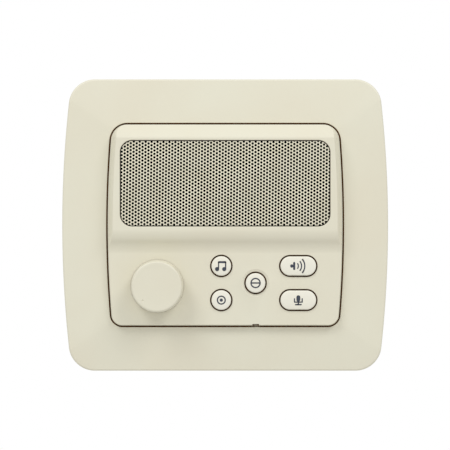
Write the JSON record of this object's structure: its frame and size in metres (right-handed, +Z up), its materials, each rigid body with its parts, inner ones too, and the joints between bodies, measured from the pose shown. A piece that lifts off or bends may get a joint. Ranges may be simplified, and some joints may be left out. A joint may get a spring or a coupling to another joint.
{
  "type": "wall intercom station",
  "caption": "Flush wall intercom station: perforated speaker plateau, turning volume knob and sprung keys in a bevelled module, clamped in a wide bowed trim frame on a steel wall bracket.",
  "frame": {"origin": "centre of the wall screw pattern, on the wall plane at the back of the mounting bracket", "axes": "+X right as seen from the front, +Z up, +Y into the wall; the face looks along -Y"},
  "size_m": [0.2044, 0.0581, 0.1828],
  "materials": {
    "zinc_plated_steel": "zinc-plated pressed steel sheet",
    "grey_abs": "moulded grey ABS with a fine spark-eroded texture",
    "grommet_rubber": "black moulded rubber",
    "screw_steel": "zinc-plated steel screws",
    "ivory_abs": "warm ivory ABS, semi-matt moulded face",
    "key_abs": "lighter ivory ABS, satin, with dark printed pictograms",
    "ivory_painted_steel": "perforated steel sheet, ivory enamel",
    "grille_cloth": "thin black acoustic cloth",
    "basket_steel": "black-passivated pressed steel",
    "surround_rubber": "thin foam rubber half roll",
    "cone_paper": "dark pressed paper pulp",
    "spider_cloth": "resin-soaked corrugated cloth",
    "coil_brass": "enamelled copper winding",
    "ferrite": "ground ferrite ring",
    "gasket_foam": "closed-cell foam ring",
    "board_laminate": "glass-fibre laminate with green solder resist",
    "tag_brass": "tinned brass",
    "lead_pvc": "red PVC insulation",
    "component_black": "black moulded epoxy or nylon",
    "capacitor_aluminium": "drawn aluminium can",
    "shaft_aluminium": "turned aluminium",
    "terminal_green": "moulded green nylon"
  },
  "bodies": {
    "station": {"mounting_bracket": "zinc_plated_steel", "rear_housing": "grey_abs", "cable_grommet": "grommet_rubber", "chassis_screws": "screw_steel", "trim_frame": "ivory_abs", "front_bezel": "ivory_abs", "speaker_grille": "ivory_painted_steel", "grille_cloth": "grille_cloth", "speaker_basket": "basket_steel", "speaker_surround": "surround_rubber", "speaker_cone": "cone_paper", "speaker_dust_cap": "cone_paper", "speaker_spider": "spider_cloth", "speaker_voice_coil": "coil_brass", "speaker_front_plate": "basket_steel", "speaker_magnet": "ferrite", "speaker_yoke": "basket_steel", "speaker_gasket": "gasket_foam", "speaker_screws": "screw_steel", "speaker_tag_strip": "board_laminate", "speaker_tags": "tag_brass", "speaker_leads": "lead_pvc", "lead_header": "component_black", "main_board": "board_laminate", "board_screws": "screw_steel", "amplifier_chip": "component_black", "logic_chip": "component_black", "board_capacitors": "capacitor_aluminium", "terminal_block": "terminal_green", "terminal_screws": "screw_steel", "microphone_boot": "grommet_rubber", "microphone_capsule": "capacitor_aluminium", "microphone_leads": "lead_pvc", "pot_body": "capacitor_aluminium", "pot_pins": "tag_brass", "pot_washer": "screw_steel", "pot_nut": "screw_steel", "source_switch": "component_black", "set_switch": "component_black", "privacy_switch": "component_black", "listen_switch": "component_black", "talk_switch": "component_black"},
    "volume_control": {"volume_knob": "ivory_abs", "pot_shaft": "shaft_aluminium"},
    "source_key": {"source_button": "key_abs", "source_plunger": "component_black"},
    "set_key": {"set_button": "key_abs", "set_plunger": "component_black"},
    "privacy_key": {"privacy_button": "key_abs", "privacy_plunger": "component_black"},
    "listen_key": {"listen_button": "key_abs", "listen_plunger": "component_black"},
    "talk_key": {"talk_button": "key_abs", "talk_plunger": "component_black"}
  },
  "joints": [
    {"name": "volume_turn", "type": "hinge", "parent": "station", "child": "volume_control", "pos_m": [-0.0424, -0.0124, -0.0382], "axis": [0, 1, 0], "range_deg": [0, 270]},
    {"name": "source_press", "type": "slide", "parent": "station", "child": "source_key", "axis": [0, 1, 0], "range_m": [0, 0.001], "stiffness_N_per_m": 300, "springref_m": -0.003},
    {"name": "set_press", "type": "slide", "parent": "station", "child": "set_key", "axis": [0, 1, 0], "range_m": [0, 0.001], "stiffness_N_per_m": 300, "springref_m": -0.003},
    {"name": "privacy_press", "type": "slide", "parent": "station", "child": "privacy_key", "axis": [0, 1, 0], "range_m": [0, 0.001], "stiffness_N_per_m": 300, "springref_m": -0.003},
    {"name": "listen_press", "type": "slide", "parent": "station", "child": "listen_key", "axis": [0, 1, 0], "range_m": [0, 0.001], "stiffness_N_per_m": 300, "springref_m": -0.003},
    {"name": "talk_press", "type": "slide", "parent": "station", "child": "talk_key", "axis": [0, 1, 0], "range_m": [0, 0.001], "stiffness_N_per_m": 300, "springref_m": -0.003}
  ]
}
